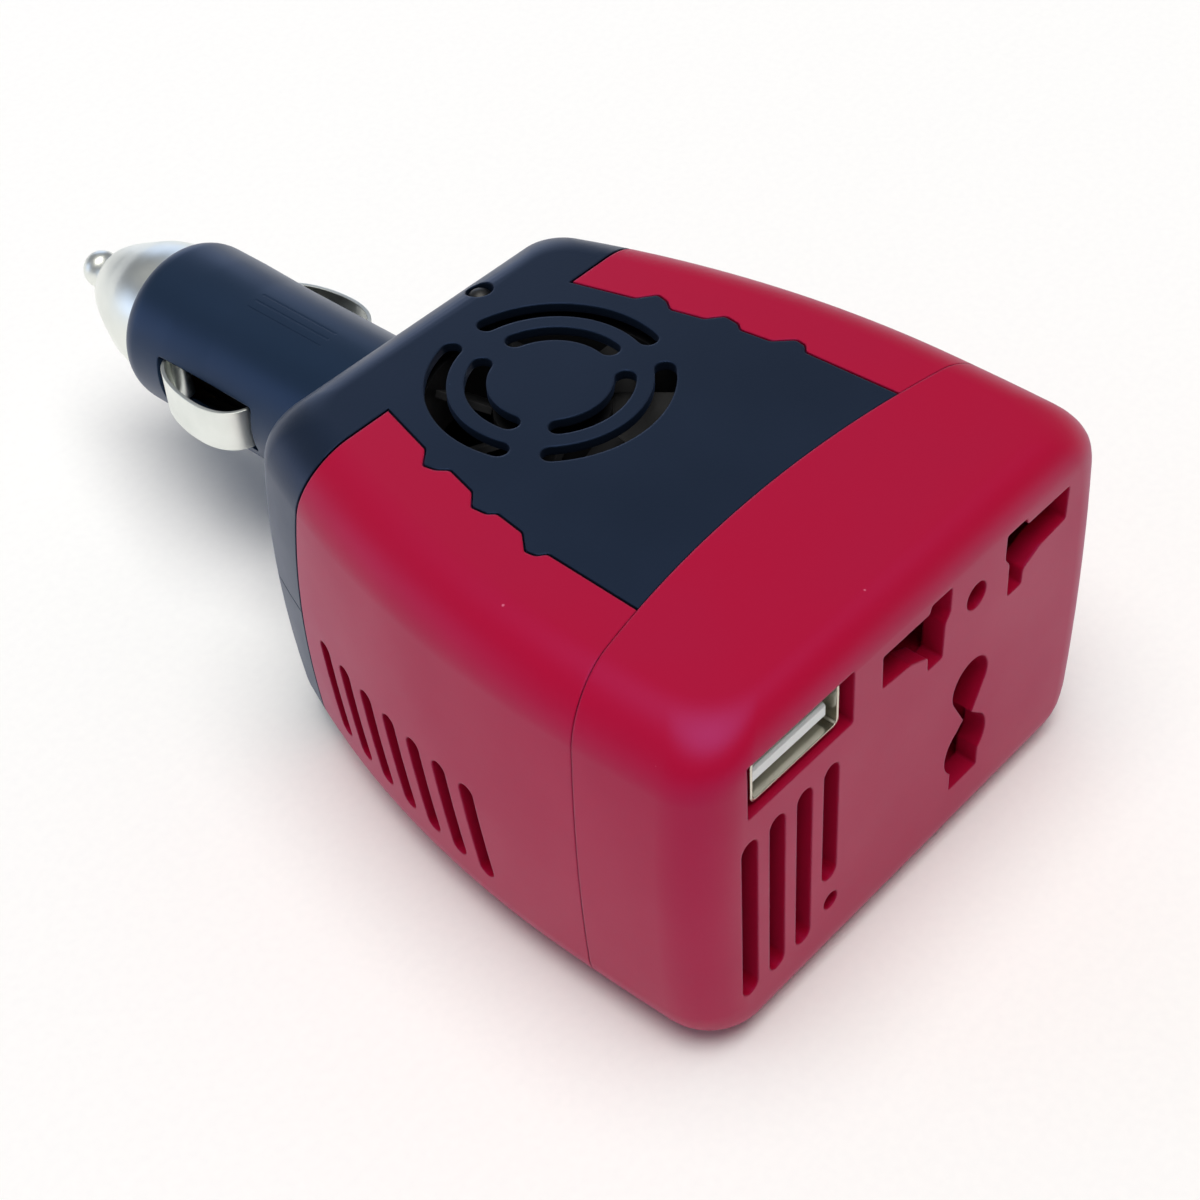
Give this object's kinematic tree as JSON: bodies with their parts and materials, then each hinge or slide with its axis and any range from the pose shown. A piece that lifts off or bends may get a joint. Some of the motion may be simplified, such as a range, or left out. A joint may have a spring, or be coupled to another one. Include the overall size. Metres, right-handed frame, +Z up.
{
  "type": "power inverter",
  "caption": "Compact plug-in power inverter for a vehicle accessory socket, with a fan grille, a universal mains outlet, a USB port and a sprung plug.",
  "frame": {"origin": "centre of the whole part's footprint, on the base plane of the housing", "axes": "+Y from the outlet face towards the plug tip, +Z up out of the fan grille, +X to the right when looking along +Y"},
  "size_m": [0.0676, 0.1302, 0.044],
  "materials": {
    "black_shell": "satin moulded",
    "crimson_panel": "semi-gloss moulded",
    "led_lens": "clear tinted",
    "nickel_plate": "bright plated",
    "leaf_nickel": "plated strip",
    "spring_steel": "drawn wire",
    "fuse_glass": "clear",
    "tinned_metal": "tinned",
    "dark_plastic": "moulded",
    "brass": "stamped",
    "red_insulation": "flexible insulation",
    "black_insulation": "flexible insulation",
    "copper_winding": "lacquered copper",
    "dark_screw": "black oxide",
    "board_green": "solder mask",
    "ferrite": "sintered",
    "winding_tape": "polyester tape",
    "capacitor_sleeve": "shrunk sleeve",
    "capacitor_black": "shrunk sleeve",
    "sink_aluminium": "extruded",
    "chip_black": "moulded epoxy",
    "usb_steel": "nickel plated",
    "usb_white": "moulded",
    "gold_pins": "gold plated"
  },
  "bodies": {
    "housing": {"upper_shell": "black_shell", "lower_shell": "black_shell", "left_side_panel": "crimson_panel", "right_side_panel": "crimson_panel", "front_cover": "crimson_panel", "outlet_boss": "crimson_panel", "indicator_led": "led_lens", "plug_barrel": "black_shell", "nose_cap": "nickel_plate", "tip_spring": "spring_steel", "fuse_sleeve": "dark_plastic", "tip_terminal": "brass", "contact_posts": "tinned_metal", "contact_ring": "brass", "positive_lead": "red_insulation", "negative_lead": "black_insulation", "fan_frame": "dark_plastic", "fan_stator": "copper_winding", "fan_bush": "brass", "fan_screws": "dark_screw", "main_board": "board_green", "board_screws": "tinned_metal", "transformer_core": "ferrite", "transformer_winding": "winding_tape", "input_capacitors": "capacitor_sleeve", "output_capacitor": "capacitor_black", "heat_sinks": "sink_aluminium", "power_transistors": "chip_black", "control_chip": "chip_black", "usb_shell": "usb_steel", "usb_tongue": "usb_white", "usb_pins": "gold_pins", "usb_board": "board_green", "outlet_carrier": "dark_plastic", "live_contact": "brass", "neutral_contact": "brass", "earth_contact": "brass", "housing_screws": "dark_screw"},
    "fan": {"fan_rotor": "dark_plastic", "fan_shaft": "spring_steel"},
    "tip": {"tip_contact": "nickel_plate", "fuse_glass": "fuse_glass", "fuse_end_caps": "tinned_metal"},
    "left_leaf": {"left_contact": "leaf_nickel"},
    "right_leaf": {"right_contact": "leaf_nickel"}
  },
  "joints": [
    {"name": "fan_spin", "type": "hinge", "parent": "housing", "child": "fan", "pos_m": [0, -0.0171, 0.037], "axis": [0, 0, 1], "continuous": true},
    {"name": "tip_press", "type": "slide", "parent": "housing", "child": "tip", "axis": [0, -1, 0], "range_m": [0, 0.0035], "stiffness_N_per_m": 1200, "springref_m": -0.002, "deforming": ["tip_spring"]},
    {"name": "left_contact_flex", "type": "hinge", "parent": "housing", "child": "left_leaf", "pos_m": [-0.008, 0.0378, 0.023], "axis": [0, 0, 1], "range_deg": [0, 18], "stiffness_Nm_per_rad": 0.4, "springref_deg": -2.86},
    {"name": "right_contact_flex", "type": "hinge", "parent": "housing", "child": "right_leaf", "pos_m": [0.008, 0.0378, 0.023], "axis": [0, 0, -1], "range_deg": [0, 18], "stiffness_Nm_per_rad": 0.4, "springref_deg": -2.86}
  ]
}
